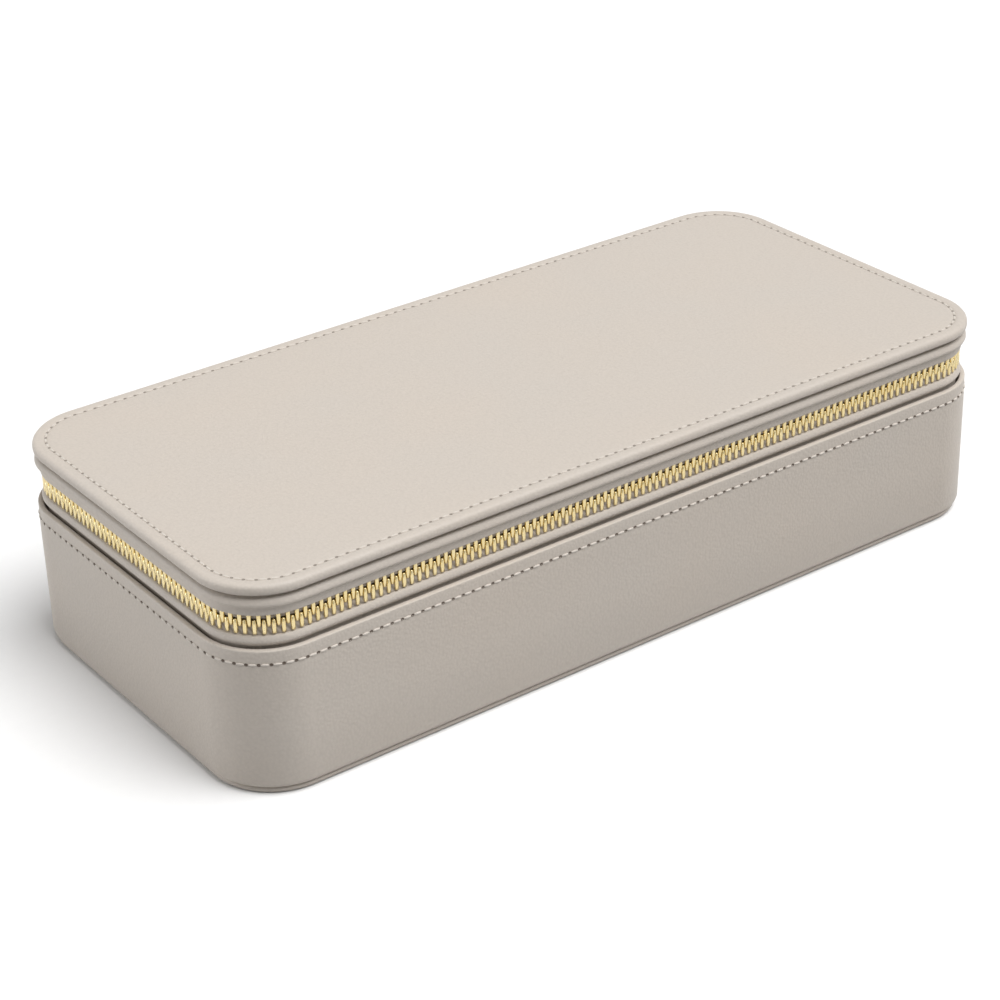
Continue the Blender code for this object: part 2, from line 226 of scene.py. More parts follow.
def pebbled_leatherette(name):
    """Coated fabric pressed with a fine pebble grain. It has a soft satin gloss that the grain
    breaks up, painted shade that darkens the hollows between pebbles, and large faint
    clouds of tone."""
    colour = linear(bpy.context.scene.jewelry_case.leather_colour)
    material, tree, shader, place = new_material(
        name, {"IOR": 1.46, "Sheen Weight": 0.12, "Sheen Roughness": 0.4}
    )
    # Pebbles 0.85 mm across: a real fine grain is about half that, drawn coarser so that it shows.
    pebbles = add_node(
        tree,
        "ShaderNodeTexVoronoi",
        {"feature": "SMOOTH_F1", "Scale": 1 / 0.00085, "Smoothness": 0.6, "Randomness": 0.9},
        {"Vector": place},
    ).outputs["Distance"]
    # Pores and fibre marks of 0.25 mm, and a tone that drifts over about 40 mm.
    pores = add_noise(tree, place, 0.00025, 3.0, {"Roughness": 0.6})
    clouds = add_noise(tree, place, 0.04, 2.0)
    cooler, warmer = tinted(colour, 0.97, 0.985, 1.0), tinted(colour, 1.02, 0.995, 0.97)
    tone = add_mix(tree, clouds, cooler, warmer)
    # Painted shade: the hollows between pebbles take a copy of the colour darkened to 0.72.
    crease_shade = add_range(tree, pebbles, 0.25, 0.75, 0.0, 0.18)
    grain_and_crease_shade = add_mix(tree, crease_shade, tone, tinted(colour, 0.72, 0.72, 0.72))
    gloss = add_range(tree, pores, 0.3, 0.7, 0.46, 0.62)
    fine = add_bump(tree, pores, 0.35, 0.00003)
    deep = add_bump(tree, pebbles, 0.6, 0.00012, below=fine, invert=True)
    feed(shader, {"Base Color": grain_and_crease_shade, "Roughness": gloss, "Normal": deep})
    return material


def sewing_thread(name):
    """Twisted polyester thread: a soft sheen and a fine slanting twist."""
    colour = linear(bpy.context.scene.jewelry_case.thread_colour)
    material, tree, shader, place = new_material(
        name, {"Base Color": colour, "Roughness": 0.6, "Sheen Weight": 0.3}
    )
    # The twist repeats every 1.8 mm along a stitch, coarser than real thread so that it shows.
    twist = add_stripes(tree, place, 0.0028, 0.5)
    feed(shader, {"Normal": add_bump(tree, twist, 0.4, 0.00006)})
    return material


def deep_needle_hole_shadow(name):
    """The mouth of a needle hole in the stiff wall: raw backing cloth, darkened by painted shadow."""
    return painted_hole_shadow(name, "#655b53", "#83786e")


def shallow_needle_hole_shadow(name):
    """A needle hole that the lid's padding has half closed, so its painted shadow is barely
    darker than the cover.
    """
    return painted_hole_shadow(name, "#8d857c", "#a39b92")


def painted_hole_shadow(name, dark, pale):
    """Matt cloth at the bottom of a needle hole, with fibres of 0.4 mm, in dark colours that
    paint the hole's shadow.
    """
    material, tree, shader, place = new_material(name, {"Roughness": 0.9, "Specular IOR Level": 0.1})
    fibres = add_noise(tree, place, 0.0004, 2.0)
    feed(shader, {"Base Color": add_mix(tree, fibres, linear(dark), linear(pale))})
    return material


def polished_brass(name):
    """Pale tumbled and plated brass: bright metal with a fine tumbled haze and a warmer tint."""
    colour = linear(bpy.context.scene.jewelry_case.brass_colour)
    material, tree, shader, place = new_material(name, {"Metallic": 1.0})
    # Tumbling marks of 0.3 mm, and a plating tone that drifts over about 5 mm.
    marks = add_noise(tree, place, 0.0003, 2.0)
    drift = add_noise(tree, place, 0.005, 1.0)
    tone = add_mix(tree, drift, tinted(colour, 0.92, 0.85, 0.66), colour)
    haze = add_range(tree, marks, 0.3, 0.7, 0.16, 0.32)
    feed(shader, {"Base Color": tone, "Roughness": haze})
    return material


def woven_tape(name):
    """Woven polyester zip tape: a fine twill of raised yarns, matt and slightly fuzzy."""
    material, tree, shader, place = new_material(name, {"Roughness": 0.85, "Sheen Weight": 0.25})
    along = add_node(tree, "ShaderNodeAttribute", {"attribute_name": "run"}).outputs["Fac"]
    height = add_node(tree, "ShaderNodeSeparateXYZ", {}, {"Vector": place}).outputs["Z"]
    flat = add_node(tree, "ShaderNodeCombineXYZ", {}, {"X": along, "Y": height})
    # Bands of yarn 1.4 mm apart, coarser than real tape so that they show.
    yarns = add_stripes(tree, flat.outputs["Vector"], 0.0032, 0.6)
    tone = add_mix(tree, yarns, linear("#93887c"), linear("#bbb0a4"))
    feed(shader, {"Base Color": tone, "Normal": add_bump(tree, yarns, 0.6, 0.0001)})
    return material


def short_velvet(name):
    """Short-pile velvet: painted shade, dark between the tufts, and painted sheen, pale where
    the pile catches light at its edges.
    """
    colour = linear(bpy.context.scene.jewelry_case.velvet_colour)
    values = {"Roughness": 0.95, "Specular IOR Level": 0.15}
    values |= {"Sheen Weight": 0.9, "Sheen Roughness": 0.35, "Sheen Tint": linear("#efe6da")}
    material, tree, shader, place = new_material(name, values)
    # Tufts of 0.35 mm, and strokes in the pile of about 12 mm.
    tufts = add_noise(tree, place, 0.00035, 2.0)
    strokes = add_noise(tree, place, 0.012, 3.0, {"Distortion": 0.6})
    amount = add_node(
        tree, "ShaderNodeMath", {"operation": "MULTIPLY_ADD", 1: 0.45}, {0: tufts, 2: strokes}
    )
    # Painted shade and sheen: tufts and strokes mix a darker and a paler copy of the velvet colour.
    painted_sheen_and_shade = add_range(tree, amount.outputs["Value"], 0.45, 1.0)
    tone = add_mix(tree, painted_sheen_and_shade, tinted(colour, 0.78, 0.78, 0.78), tinted(colour, 1.12, 1.12, 1.12))
    feed(shader, {"Base Color": tone, "Normal": add_bump(tree, tufts, 0.5, 0.00015)})
    return material


def silvered_glass(name):
    """Silvered float glass: a near-perfect mirror with a trace of wiping haze."""
    material, tree, shader, place = new_material(name, {"Base Color": linear("#eef1f2"), "Metallic": 1.0})
    # Wiping marks of about 20 mm.
    wipes = add_noise(tree, place, 0.02, 3.0)
    feed(shader, {"Roughness": add_range(tree, wipes, 0.4, 0.8, 0.015, 0.05)})
    return material


def pressed_board(name):
    """Grey-brown pressed fibre board with flecks of fibre."""
    material, tree, shader, place = new_material(name, {"Roughness": 0.9})
    # Fibres about 1 mm long.
    fibres = add_noise(tree, place, 0.001, 4.0)
    tone = add_mix(tree, fibres, linear("#83715c"), linear("#ab987f"))
    feed(shader, {"Base Color": tone, "Normal": add_bump(tree, fibres, 0.3, 0.0001)})
    return material


def open_cell_foam(name):
    """Pale polyurethane foam with open cells."""
    material, tree, shader, place = new_material(name, {"Roughness": 0.95})
    # Cells of 0.6 mm.
    voronoi = add_node(tree, "ShaderNodeTexVoronoi", {"Scale": 1 / 0.0006}, {"Vector": place})
    cells = voronoi.outputs["Distance"]
    tone = add_mix(tree, cells, linear("#d9d3c4"), linear("#f0ebdf"))
    feed(shader, {"Base Color": tone, "Normal": add_bump(tree, cells, 0.5, 0.0002)})
    return material


def studio_floor(name):
    """Matt white paper sweep. It looks white, but throws back only as much light as grey paper,
    so that the walls of the case keep their shading."""
    material, tree, shader, place = new_material(name, {"Roughness": 0.9, "Specular IOR Level": 0.1})
    # Paper tooth of about 3 mm.
    tooth = add_noise(tree, place, 1 / 300, 2.0)
    tone = add_mix(tree, tooth, (0.93, 0.93, 0.93, 1.0), (0.95, 0.95, 0.95, 1.0))
    bounce = add_node(tree, "ShaderNodeLightPath").outputs["Is Diffuse Ray"]
    feed(shader, {"Base Color": add_mix(tree, bounce, tone, (0.5, 0.5, 0.5, 1.0))})
    return material


# ---- working by hand: selecting, starting and finishing --------------------------------------


def deselect_all():
    """Leaves edit mode with no object selected."""
    if bpy.context.mode != "OBJECT":
        bpy.ops.object.mode_set(mode="OBJECT")
    bpy.ops.object.select_all(action="DESELECT")


def activate(obj):
    """Selects only this object, in object mode."""
    deselect_all()
    obj.select_set(True)
    bpy.context.view_layer.objects.active = obj


def start_edit(obj, kind="FACE"):
    """Enters edit mode with everything selected."""
    activate(obj)
    bpy.ops.object.mode_set(mode="EDIT")
    bpy.ops.mesh.select_mode(type=kind)
    bpy.ops.mesh.select_all(action="SELECT")


def end_edit():
    """Goes back to object mode."""
    bpy.ops.object.mode_set(mode="OBJECT")


def pick(obj, test):
    """Selects only the faces whose middle and normal pass the test."""
    bpy.ops.mesh.select_mode(type="FACE")
    bpy.ops.mesh.select_all(action="DESELECT")
    mesh = bmesh.from_edit_mesh(obj.data)
    mesh.normal_update()
    for face in mesh.faces:
        face.select_set(test(face.calc_center_median(), face.normal))
    bmesh.update_edit_mesh(obj.data)


def pick_edges(obj, test, open_only=False):
    """Selects only the edges whose two ends pass the test, or only those of them with one face."""
    bpy.ops.mesh.select_mode(type="EDGE")
    bpy.ops.mesh.select_all(action="DESELECT")
    mesh = bmesh.from_edit_mesh(obj.data)
    for edge in mesh.edges:
        if not open_only or edge.is_boundary:
            edge.select_set(test(edge.verts[0].co, edge.verts[1].co))
    bmesh.update_edit_mesh(obj.data)


def close_ring():
    """Removes the selected face and joins the mesh's two open ends with a band of faces."""
    bpy.ops.mesh.delete(type="ONLY_FACE")
    bpy.ops.mesh.select_mode(type="EDGE")
    bpy.ops.mesh.select_all(action="DESELECT")
    bpy.ops.mesh.select_non_manifold()
    bpy.ops.mesh.bridge_edge_loops()


def add_box(name, low, high):
    """A box between two corners, its place in its mesh."""
    deselect_all()
    low, high = Vector(low), Vector(high)
    bpy.ops.mesh.primitive_cube_add(size=1, location=(low + high) / 2)
    obj = bpy.context.active_object
    obj.name = name
    obj.scale = high - low
    settle(obj)
    return obj


def settle(obj):
    """Moves the object's place, turn and size into its mesh."""
    activate(obj)
    bpy.ops.object.transform_apply(location=True, rotation=True, scale=True)


def apply_modifier(obj, kind, settings):
    """Adds a modifier with these settings and applies it."""
    activate(obj)
    change = obj.modifiers.new(kind.title(), kind)
    for key, value in settings.items():
        setattr(change, key, value)
    bpy.ops.object.modifier_apply(modifier=change.name)


def finish_piece(obj, body, finish, stands_for=(), smooth=35):
    """Shades a piece, gives it its material and fixes it to its body. A piece that joins two
    bodies has none here."""
    if not obj.data.polygons:
        raise RuntimeError(f"{obj.name} came out without faces")
    activate(obj)
    bpy.ops.object.shade_smooth_by_angle(angle=math.radians(smooth))
    obj.data.materials.clear()
    obj.data.materials.append(once(finish.__name__, finish))
    if stands_for:
        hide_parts(*stands_for)
    if body:
        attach(obj, body)
    return obj


def outward_normals(obj):
    """Turns every face outwards."""
    start_edit(obj)
    bpy.ops.mesh.normals_make_consistent(inside=False)
    end_edit()


# ---- the rounded outline ----------------------------------------------------------------------


def outline_legs(offset):
    """Straights and corners of the outline, moved in by offset, from the middle of the back round
    by the left side. A leg is (length, start point, start heading in radians, corner radius)."""
    radius = bpy.context.scene.jewelry_case.corner_radius
    x, y, r = HALF_X - radius, HALF_Y - radius, radius - offset
    arc = r * math.pi / 2
    right, up = HALF_X - offset, HALF_Y - offset
    return [
        (x, Vector((0, up)), math.pi, 0),
        (arc, Vector((-x, up)), math.pi, r),
        (2 * y, Vector((-right, y)), 1.5 * math.pi, 0),
        (arc, Vector((-right, -y)), 1.5 * math.pi, r),
        (2 * x, Vector((-x, -up)), 0.0, 0),
        (arc, Vector((x, -up)), 0.0, r),
        (2 * y, Vector((right, -y)), 0.5 * math.pi, 0),
        (arc, Vector((right, y)), 0.5 * math.pi, r),
        (x, Vector((x, up)), math.pi, 0),
    ]


def outline_length(offset):
    """The way round the outline, moved in by offset."""
    return sum(leg[0] for leg in outline_legs(offset))


def walk(offset, run):
    """The point and heading at a distance along the outline."""
    for length, start, heading, radius in outline_legs(offset):
        if run <= length:
            break
        run -= length
    if not radius:
        return start + run * Vector((math.cos(heading), math.sin(heading))), heading
    turn = run / radius
    centre = start + radius * Vector((-math.sin(heading), math.cos(heading)))
    heading += turn
    return centre + radius * Vector((math.sin(heading), -math.cos(heading))), heading


def run_of(point):
    """How far round the outline a point lies, from the middle of the back by the left side."""
    radius = bpy.context.scene.jewelry_case.corner_radius
    x, y = HALF_X - radius, HALF_Y - radius
    near_x, near_y = min(abs(point.x), x), min(abs(point.y), y)
    turn = radius * math.atan2(abs(point.x) - near_x, abs(point.y) - near_y)
    # From the middle of the nearer long side, and then from the middle of the back.
    run = near_x + turn + y - near_y
    half = outline_length(0) / 2
    if point.y < 0:
        run = half - run
    return run if point.x < 0 else 2 * half - run


def mark_run(obj):
    """Stores the distance round the outline on each vertex, for a pattern that follows the wall."""
    values = [run_of(vertex.co) for vertex in obj.data.vertices]
    obj.data.attributes.new("run", "FLOAT", "POINT").data.foreach_set("value", values)


# Straight steps in each corner of the outline.
CORNER_SEGMENTS = 20


def rounded_face(name, offset, z):
    """A flat face with the case's outline, moved in by offset, at height z."""
    radius = bpy.context.scene.jewelry_case.corner_radius
    deselect_all()
    bpy.ops.mesh.primitive_plane_add(size=1, location=(0, 0, z))
    obj = bpy.context.active_object
    obj.name = name
    obj.scale = (2 * (HALF_X - offset), 2 * (HALF_Y - offset), 1)
    settle(obj)
    start_edit(obj, "VERT")
    bpy.ops.mesh.bevel(
        offset=radius - offset, segments=CORNER_SEGMENTS, affect="VERTICES", clamp_overlap=False
    )
    bpy.ops.mesh.select_mode(type="FACE")
    bpy.ops.mesh.select_all(action="SELECT")
    return obj


def carry_face(obj, levels):
    """Insets the selected face from one (offset, z) level to the next."""
    mesh = bmesh.from_edit_mesh(obj.data)
    mesh.normal_update()
    up = next(face.normal.z for face in mesh.faces if face.select)
    for (near, low), (far, high) in zip(levels, levels[1:]):
        rise = (high - low) * (1 if up > 0 else -1)
        bpy.ops.mesh.inset(thickness=(far - near) * MM, depth=rise * MM, use_individual=True)


def outline_solid(name, over, under, hollow=False):
    """A solid on the case's outline. over and under are (offset, z) levels in millimetres that
    start at the same widest line, and each runs inwards. A hollow solid is open in the middle."""
    obj = rounded_face(name, over[0][0] * MM, over[0][1] * MM)
    carry_face(obj, over)
    if hollow:
        bpy.ops.mesh.delete(type="ONLY_FACE")
    start = over[0][1] * MM
    pick_edges(obj, lambda a, b: abs(a.z - start) < 1e-7 and abs(b.z - start) < 1e-7, open_only=True)
    bpy.ops.mesh.edge_face_add()
    bpy.ops.mesh.select_mode(type="FACE")
    carry_face(obj, under)
    if hollow:
        close_ring()
    end_edit()
    outward_normals(obj)
    return obj


def open_at_hinge(obj, half):
    """Cuts the ring open along the back, and closes the two cut ends."""
    start_edit(obj)
    bpy.ops.mesh.bisect(plane_co=(-half, 0, 0), plane_no=(1, 0, 0))
    bpy.ops.mesh.select_all(action="SELECT")
    bpy.ops.mesh.bisect(plane_co=(half, 0, 0), plane_no=(1, 0, 0))
    pick(obj, lambda middle, normal: abs(middle.x) < half and middle.y > 0)
    bpy.ops.mesh.delete(type="FACE")
    bpy.ops.mesh.select_mode(type="VERT")
    bpy.ops.mesh.select_all(action="SELECT")
    bpy.ops.mesh.fill_holes(sides=0)
    end_edit()
    outward_normals(obj)


def copies(name, model, places):
    """One object that holds a copy of the model at each place."""
    made = []
    for place in places:
        copy = model.copy()
        copy.data = model.data.copy()
        copy.matrix_world = place
        bpy.context.scene.collection.objects.link(copy)
        made.append(copy)
    bpy.data.objects.remove(model, do_unlink=True)
    deselect_all()
    for copy in made:
        copy.select_set(True)
    bpy.context.view_layer.objects.active = made[0]
    bpy.ops.object.join()
    made[0].name = name
    settle(made[0])
    return made[0]


def upright(point, z, heading):
    """A place on a wall: X along the wall, Y into the box, Z up."""
    return Matrix.Translation((point.x, point.y, z)) @ Matrix.Rotation(heading, 4, "Z")


# ---- leatherette covers -----------------------------------------------------------------------

# The lid's seam lies this far in from the outline and below the lid's crown.
LID_SEAM_MM = 3.65
SEAM_DIP_MM = 0.3
# The height of the wall's seam.
BASE_SEAM_MM = COVER_HIGH.z / MM - 3.7
# How far the wall's leather stands outside the outline, and how far at its seam.
WALL_OUT_MM = 0.4
WALL_SEAM_OUT_MM = 0.28


class CASE_OT_lid_leather(bpy.types.Operator):
    """Lid cover: a crowned panel with a padded, rolled edge and a sewn valley inside it"""

    bl_idname = "jewelry_case.lid_leather"
    bl_label = "Lid Leather"

    def execute(self, context):
        top, lip, seam = LID_HIGH.z / MM, LID_LOW.z / MM, LID_SEAM_MM
        middle = lip + 0.95
        over = [(0.0, middle), (0.03, middle + 0.5), (0.18, top - 0.75), (0.5, top - 0.35)]
        over += [(0.95, top - 0.12), (1.5, top - 0.02), (2.2, top - 0.03), (2.9, top - 0.12)]
        over += [(seam - 0.5, top - 0.25), (seam - 0.2, top - SEAM_DIP_MM)]
        over += [(seam + 0.2, top - SEAM_DIP_MM), (seam + 0.5, top - 0.25)]
        over += [(4.8, top - 0.16), (5.9, top - 0.06), (8.0, top - 0.01), (12.0, top), (16.5, top)]
        under = [(0.0, middle), (0.05, lip + 0.45), (0.25, lip + 0.12), (0.6, lip), (0.95, lip + 0.06)]
        under += [(1.15, lip + 0.3), (1.2, lip + 1.35), (2.0, lip + 1.4)]
        lid = outline_solid("lid_leather", over, under)
        finish_piece(lid, "lid", pebbled_leatherette, ["lid_cover"], 60)
        return {"FINISHED"}


class CASE_OT_base_leather(bpy.types.Operator):
    """Wall cover with a rolled, sewn top edge and a turned-under foot, and the bottom panel"""

    bl_idname = "jewelry_case.base_leather"
    bl_label = "Base Leather"

    def execute(self, context):
        top, foot, seam = COVER_HIGH.z / MM, COVER_LOW.z / MM, BASE_SEAM_MM
        swell, dip, middle = -WALL_OUT_MM, -WALL_SEAM_OUT_MM, 20.0
        # Levels only step inwards, so the roll above the seam stands on the seam's own line.
        over = [(swell, middle), (swell, seam - 2.2), (-0.37, seam - 0.9), (-0.32, seam - 0.35)]
        over += [(dip, seam), (dip, seam + 0.35), (dip, top - 0.5), (-0.25, top - 0.25)]
        over += [(-0.15, top - 0.08), (0.05, top), (0.6, top + 0.02), (1.02, top)]
        over += [(1.15, top - 0.1), (1.2, top - 0.4), (1.2, 3.1), (9.0, 3.1)]
        under = [(swell, middle), (swell, foot + 1.2), (-0.2, foot + 0.5), (0.2, foot + 0.12)]
        under += [(0.75, foot), (9.0, foot)]
        wall = outline_solid("base_leather", over, under, hollow=True)
        finish_piece(wall, "base", pebbled_leatherette, ["base_cover"], 60)
        self.add_bottom()
        return {"FINISHED"}

    def add_bottom(self):
        """The bottom panel, a little inside the outline, with eased edges."""
        low, high = PANEL_LOW.z / MM, PANEL_HIGH.z / MM
        edge = 0.5
        over = [(edge, low + 0.8), (edge + 0.05, high - 0.3), (edge + 0.35, high), (12.0, high)]
        under = [(edge, low + 0.8), (edge + 0.1, low + 0.4), (edge + 0.45, low + 0.08)]
        under += [(edge + 0.9, low), (12.0, low)]
        panel = outline_solid("bottom_leather", over, under)
        finish_piece(panel, "base", pebbled_leatherette, ["bottom_panel"], 60)


# ---- the zip ------------------------------------------------------------------------------------

# The zip ends this far from the middle of the back, on each side of the hinge.
STRIP_EDGE = 0.0885
# The teeth's middle line: how far in it runs, and how far below the working model's.
CHAIN_IN_MM = 2.4
CHAIN_DROP_MM = 0.5
# How far each tape's free edge stays from the middle of the zip, which leaves room for a slider.
TAPE_GAP_MM = 0.75


class CASE_OT_zip_bands(bpy.types.Operator):
    """Leatherette strips above and below the zip, and the woven tapes behind them"""

    bl_idname = "jewelry_case.zip_bands"
    bl_label = "Zip Bands"

    def execute(self, context):
        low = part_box("lid_zip_strip")[0].z / MM
        over = [(0.1, low + 2.0), (0.15, low + 2.45), (0.32, low + 2.9), (0.62, low + 3.35)]
        over += [(1.05, low + 3.7), (1.75, low + 3.9), (1.8, low + 5.8), (2.75, low + 5.8)]
        under = [(0.1, low + 2.0), (0.2, low + 1.75), (0.5, low + 1.5), (0.9, low + 1.35)]
        under += [(1.22, low + 1.2), (1.26, low), (1.28, low - 0.95), (1.33, low - 1.15)]
        under += [(1.42, low - 1.2), (1.5, low - 1.05), (1.53, low - 0.3), (2.75, low)]
        strip = outline_solid("upper_zip_leather", over, under, hollow=True)
        open_at_hinge(strip, STRIP_EDGE)
        finish_piece(strip, "lid", pebbled_leatherette, ["lid_zip_strip"], 60)
        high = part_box("base_zip_strip")[1].z / MM
        over = [(1.0, high - 1.9), (1.08, high - 1.5), (1.3, high - 1.05), (1.6, high - 0.65)]
        over += [(1.9, high - 0.45), (2.6, high - 0.5), (2.75, high - 0.7)]
        under = [(1.0, high - 1.9), (1.05, high - 2.2), (1.35, high - 2.75), (1.8, high - 3.2)]
        under += [(2.15, high - 3.7), (2.2, high - 4.4), (2.2, high - 11.0), (2.75, high - 11.5)]
        strip = outline_solid("lower_zip_leather", over, under, hollow=True)
        open_at_hinge(strip, STRIP_EDGE)
        finish_piece(strip, "base", pebbled_leatherette, ["base_zip_strip"], 60)
        zip_mm = ZIP_Z / MM
        self.add_tape("lid", zip_mm + TAPE_GAP_MM, low - 0.6, low + 5.7)
        self.add_tape("base", zip_mm - TAPE_GAP_MM, high - 0.9, high - 11.0)
        return {"FINISHED"}

    def add_tape(self, body, edge, sewn, end):
        """A tape from its free edge, which the teeth clamp, back behind the strip and on to its end."""
        name, node = f"{body}_tape", f"{body}_zip_tape"
        way = 1 if end > edge else -1
        middle = (edge + sewn) / 2
        free = [(2.1, middle), (2.1, edge + 0.15 * way), (2.2, edge), (3.2, edge)]
        held = [(2.1, middle), (2.1, sewn), (2.8, sewn + 0.3 * way), (2.8, end - 0.15 * way)]
        held += [(2.9, end), (3.2, end)]
        over, under = (held, free) if way > 0 else (free, held)
        tape = outline_solid(name, over, under, hollow=True)
        open_at_hinge(tape, STRIP_EDGE)
        mark_run(tape)
        finish_piece(tape, body, woven_tape, [node], 60)


class CASE_OT_zip_teeth(bpy.types.Operator):
    """Two rows of meshing brass teeth and the clamps that end them"""

    bl_idname = "jewelry_case.zip_teeth"
    bl_label = "Zip Teeth"

    def execute(self, context):
        pitch = context.scene.jewelry_case.tooth_pitch
        chain = CHAIN_IN_MM * MM
        count = int((outline_length(chain) - 2 * STRIP_EDGE) / pitch)
        for row, side in (("lid", 1), ("base", -1)):
            places = []
            for number in range(count):
                share = 0.25 if side > 0 else 0.75
                point, heading = walk(chain, STRIP_EDGE + (number + share) * pitch)
                turn = Matrix.Rotation(0 if side > 0 else math.pi, 4, "Y")
                places.append(upright(point, ZIP_Z - CHAIN_DROP_MM * MM, heading) @ turn)
            teeth = copies(f"{row}_teeth", self.model_tooth(), places)
            finish_piece(teeth, row, polished_brass, [f"{row}_zip_chain"], 50)
        for body in ("base", "lid"):
            for side in ("left", "right"):
                self.add_stop(body, side)
        return {"FINISHED"}

    def model_tooth(self):
        """A tooth of the upper row: a clamp round the tape that narrows to a head past the middle."""
        low, high = Vector((-0.52, -0.85, -0.95)), Vector((0.52, 0.9, 2.9))
        tooth = add_box("tooth", low * MM, high * MM)
        start_edit(tooth)
        bpy.ops.mesh.bisect(plane_co=(0, 0, 1.1 * MM), plane_no=(0, 0, 1))
        pick(tooth, lambda middle, normal: normal.z < -0.9)
        bpy.ops.transform.resize(value=(0.78, 0.86, 1))
        bpy.ops.mesh.select_all(action="SELECT")
        bpy.ops.mesh.bevel(offset=0.2 * MM, segments=1, affect="EDGES")
        end_edit()
        return tooth

    def add_stop(self, body, side):
        """A folded brass clamp with eased edges."""
        node = f"{body}_zip_stop_{side}"
        low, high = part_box(node)
        stop = add_box(f"{body}_end_clamp_{side}", low, high)
        start_edit(stop)
        bpy.ops.mesh.bisect(plane_co=(low + high) / 2, plane_no=(1, 0, 0))
        bpy.ops.mesh.select_all(action="SELECT")
        bpy.ops.mesh.bevel(offset=0.25 * MM, segments=2, affect="EDGES")
        end_edit()
        finish_piece(stop, body, polished_brass, [node], 40)


# ---- stitching ----------------------------------------------------------------------------------


class CASE_OT_stitching(bpy.types.Operator):
    """Lockstitch round the lid and round the base's top edge, with its needle holes dark with painted
    shadow
    """

    bl_idname = "jewelry_case.stitching"
    bl_label = "Stitching"

    def execute(self, context):
        # The middle of a stitch lies a little above the leather at the bottom of the seam.
        lift = 0.03 * MM
        lid_z = LID_HIGH.z - SEAM_DIP_MM * MM + lift
        faces_up = Matrix.Rotation(-math.pi / 2, 4, "X")
        self.sew("lid", LID_SEAM_MM * MM, lid_z, faces_up, 0.36, shallow_needle_hole_shadow)
        wall = -WALL_SEAM_OUT_MM * MM - 0.04 * MM
        self.sew("base", wall, BASE_SEAM_MM * MM, Matrix.Identity(4), 0.42, deep_needle_hole_shadow)
        return {"FINISHED"}

    def sew(self, body, offset, z, tilt, hole_mm, hole_finish):
        """Places stitches and holes along the seam. tilt turns each one, which faces out at first."""
        pitch = bpy.context.scene.jewelry_case.stitch_pitch
        count = round(outline_length(offset) / pitch)
        step = outline_length(offset) / count
        # A stitch fills the middle of each step, and a hole ends it, just short of the outline's end.
        # Each needle hole is a dish whose dark colour is painted shadow.
        rows = (
            ("stitches", self.model_stitch(step), sewing_thread, 0.5),
            ("needle_holes", self.model_hole(hole_mm), hole_finish, 0.999),
        )
        for name, model, finish, share in rows:
            places = []
            for number in range(count):
                point, heading = walk(offset, (number + share) * step)
                places.append(upright(point, z, heading) @ tilt)
            row = copies(f"{body}_{name}", model, places)
            finish_piece(row, body, finish, (), 80)

    def model_stitch(self, step):
        """One stitch along X that faces -Y: thick in the middle, its ends diving into the leather."""
        deselect_all()
        bpy.ops.mesh.primitive_uv_sphere_add(segments=8, ring_count=6, radius=1)
        stitch = bpy.context.active_object
        stitch.rotation_euler = (0, math.pi / 2, 0)
        settle(stitch)
        stitch.scale = (step * 0.36, 0.30 * MM, 0.36 * MM)
        settle(stitch)
        return stitch

    def model_hole(self, radius_mm):
        """A shallow dish that faces -Y, which carries a needle hole's painted shadow."""
        deselect_all()
        bpy.ops.mesh.primitive_cylinder_add(vertices=10, radius=radius_mm * MM, depth=0.12 * MM)
        hole = bpy.context.active_object
        hole.rotation_euler = (math.pi / 2, 0, 0)
        settle(hole)
        hole.scale.x = 1.15
        settle(hole)
        start_edit(hole)
        pick(hole, lambda middle, normal: normal.y < -0.9)
        bpy.ops.mesh.inset(thickness=0.1 * MM, depth=-0.08 * MM)
        end_edit()
        return hole


# ---- the hinge ----------------------------------------------------------------------------------


class CASE_OT_hinge_leather(bpy.types.Operator):
    """Leatherette strip that joins lid and base along the back, with a soft fold at its middle"""

    bl_idname = "jewelry_case.hinge_leather"
    bl_label = "Hinge Leather"

    def execute(self, context):
        half = STRIP_EDGE - 0.1 * MM
        low = Vector((-half, HINGE_LOW.y, HINGE_LOW.z))
        high = Vector((half, HINGE_HIGH.y, HINGE_HIGH.z))
        foot = Vector((half, high.y, low.z + 0.2 * MM))
        strip = add_box("hinge_leather", low, foot)
        start_edit(strip)
        pick(strip, lambda middle, normal: normal.z > 0.9)
        steps = 40
        rise = (high.z - foot.z) / steps
        past = 0.0
        for step in range(1, steps + 1):
            z = foot.z + step * rise
            swell = self.swell_at(z)
            bpy.ops.mesh.extrude_region_move(TRANSFORM_OT_translate={"value": (0, swell - past, rise)})
            past = swell
        pick_edges(strip, lambda a, b: abs(abs(a.x) - half) < 1e-6 and abs(abs(b.x) - half) < 1e-6)
        bpy.ops.mesh.bevel(offset=0.25 * MM, segments=2, affect="EDGES")
        end_edit()
        finish_piece(strip, None, pebbled_leatherette, ["hinge_strip"], 60)
        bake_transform(strip)
        return {"FINISHED"}

    def swell_at(self, z):
        """How far the strip stands out at height z: two soft rolls with a fold between them."""
        start, end = COVER_HIGH.z + 0.2 * MM, LID_LOW.z - 0.3 * MM
        share = min(max((z - start) / (end - start), 0.0), 1.0)
        fold = math.exp(-(((z - ZIP_Z) / (1.5 * MM)) ** 2))
        return (0.8 * math.sin(math.pi * share) ** 0.7 - 0.55 * fold) * MM


# ---- the lining and what stands in it -------------------------------------------------------------


